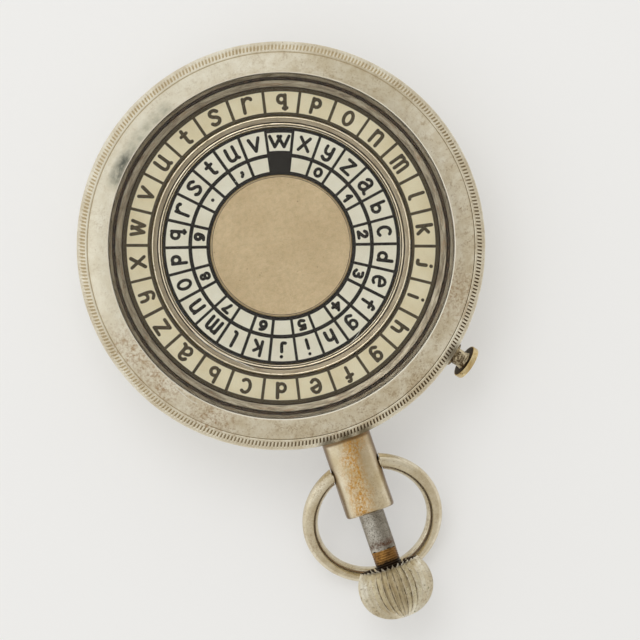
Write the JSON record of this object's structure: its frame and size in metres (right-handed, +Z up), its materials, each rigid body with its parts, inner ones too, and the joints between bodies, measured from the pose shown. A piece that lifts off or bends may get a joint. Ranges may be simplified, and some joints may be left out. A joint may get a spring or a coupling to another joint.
{
  "type": "pocket cipher device",
  "caption": "Pocket-watch-shaped letter-ring cipher device with a turning and pressing crown, a side release button, a bow and a glazed two-ring dial.",
  "frame": {"origin": "where the case axis meets the flat resting face of the back", "axes": "+Z up through the glass, +Y away from the pendant, so the pendant, bow and crown point along -Y and the side button lies towards +X and -Y"},
  "size_m": [0.052, 0.0761, 0.0142],
  "materials": {
    "nickel": "worn warm nickel plate, tan stains",
    "button_metal": "nickel worn through to brass",
    "glass": "clear, finely scratched",
    "dull_metal": "dull stained nickel",
    "movement_brass": "fine matt brass",
    "steel": "ground steel, lightly pitted",
    "spring_steel": "blued spring steel",
    "letter_face": "cream celluloid, printed in dark ink",
    "disc_brass": "brushed, tarnished",
    "thread_brass": "dark oiled brass with fine thread"
  },
  "bodies": {
    "case": {"back_cover": "nickel", "case_band": "nickel", "bezel": "nickel", "crystal": "glass", "rehaut_ring": "dull_metal", "ring_seat": "dull_metal", "main_plate": "movement_brass", "plate_screws": "steel", "centre_arbor": "movement_brass", "arbor_screw": "steel", "hub_washer": "steel", "divider_ring": "dull_metal", "divider_pillars": "movement_brass", "outer_bearing": "movement_brass", "inner_bearing": "movement_brass", "bearing_screws": "steel", "pendant_tube": "nickel", "return_spring": "spring_steel", "lever_studs": "steel", "lever_spring": "spring_steel", "jumper_spring": "spring_steel", "foot_screws": "steel", "button_bushing": "button_metal", "button_bracket": "movement_brass", "button_spring": "spring_steel"},
    "bow_ring": {"bow": "nickel"},
    "letter_ring": {"ring_gear": "movement_brass", "outer_letter_face": "letter_face"},
    "letter_disc": {"disc_hub": "movement_brass", "inner_disc": "movement_brass", "inner_letter_face": "letter_face", "centre_disc": "disc_brass", "step_wheel": "movement_brass"},
    "pinion": {"winding_pinion": "movement_brass"},
    "plunger": {"stem": "steel", "stem_end": "thread_brass", "crown": "nickel"},
    "lever": {"step_lever": "steel", "pawl_pin": "steel", "pawl_spring": "spring_steel"},
    "click_pawl": {"pawl": "steel"},
    "release": {"release_lever": "steel"},
    "button": {"side_button": "button_metal", "button_collar": "button_metal"}
  },
  "joints": [
    {"name": "bow_swing", "type": "hinge", "parent": "case", "child": "bow_ring", "pos_m": [0, -0.0303, 0.0075], "axis": [1, 0, 0], "range_deg": [-2.5, 90]},
    {"name": "letter_ring_turn", "type": "hinge", "parent": "case", "child": "letter_ring", "pos_m": [0, 0, 0.0104], "axis": [0, 0, 1], "continuous": true},
    {"name": "crown_turn", "type": "hinge", "parent": "case", "child": "pinion", "pos_m": [0, -0.019, 0.0075], "axis": [0, 1, 0], "continuous": true},
    {"name": "crown_press", "type": "slide", "parent": "pinion", "child": "plunger", "axis": [0, 1, 0], "range_m": [0, 0.0065], "stiffness_N_per_m": 250, "springref_m": -0.004, "deforming": ["return_spring", "lever_spring", "pawl_spring"]},
    {"name": "letter_disc_turn", "type": "hinge", "parent": "case", "child": "letter_disc", "pos_m": [0, 0, 0.0104], "axis": [0, 0, 1], "continuous": true, "deforming": ["jumper_spring"]},
    {"name": "step_lever_swing", "type": "hinge", "parent": "case", "child": "lever", "pos_m": [-0.012, -0.01, 0.0057], "axis": [0, 0, 1], "range_deg": [-0.5, 30.6]},
    {"name": "pawl_swing", "type": "hinge", "parent": "lever", "child": "click_pawl", "pos_m": [-0.00872, -0.01089, 0.0047], "axis": [0, 0, 1], "range_deg": [-30.6, 0.5]},
    {"name": "side_button_press", "type": "slide", "parent": "case", "child": "button", "axis": [-0.6224, 0.7632, 0.1736], "range_m": [0, 0.0012], "stiffness_N_per_m": 700, "springref_m": -0.0012, "deforming": ["button_spring"]},
    {"name": "release_lever_swing", "type": "hinge", "parent": "case", "child": "release", "pos_m": [0.0145, -0.0055, 0.0057], "axis": [0, 0, 1], "range_deg": [-8.8, 0.2]}
  ],
  "couplings": [
    {"joint": "crown_turn", "follows": "letter_ring_turn", "ratio": 9.5},
    {"joint": "step_lever_swing", "follows": "crown_press", "rad_per_m": 81.381},
    {"joint": "pawl_swing", "follows": "crown_press", "rad_per_m": -81.381},
    {"joint": "release_lever_swing", "follows": "side_button_press", "rad_per_m": -121.02}
  ]
}
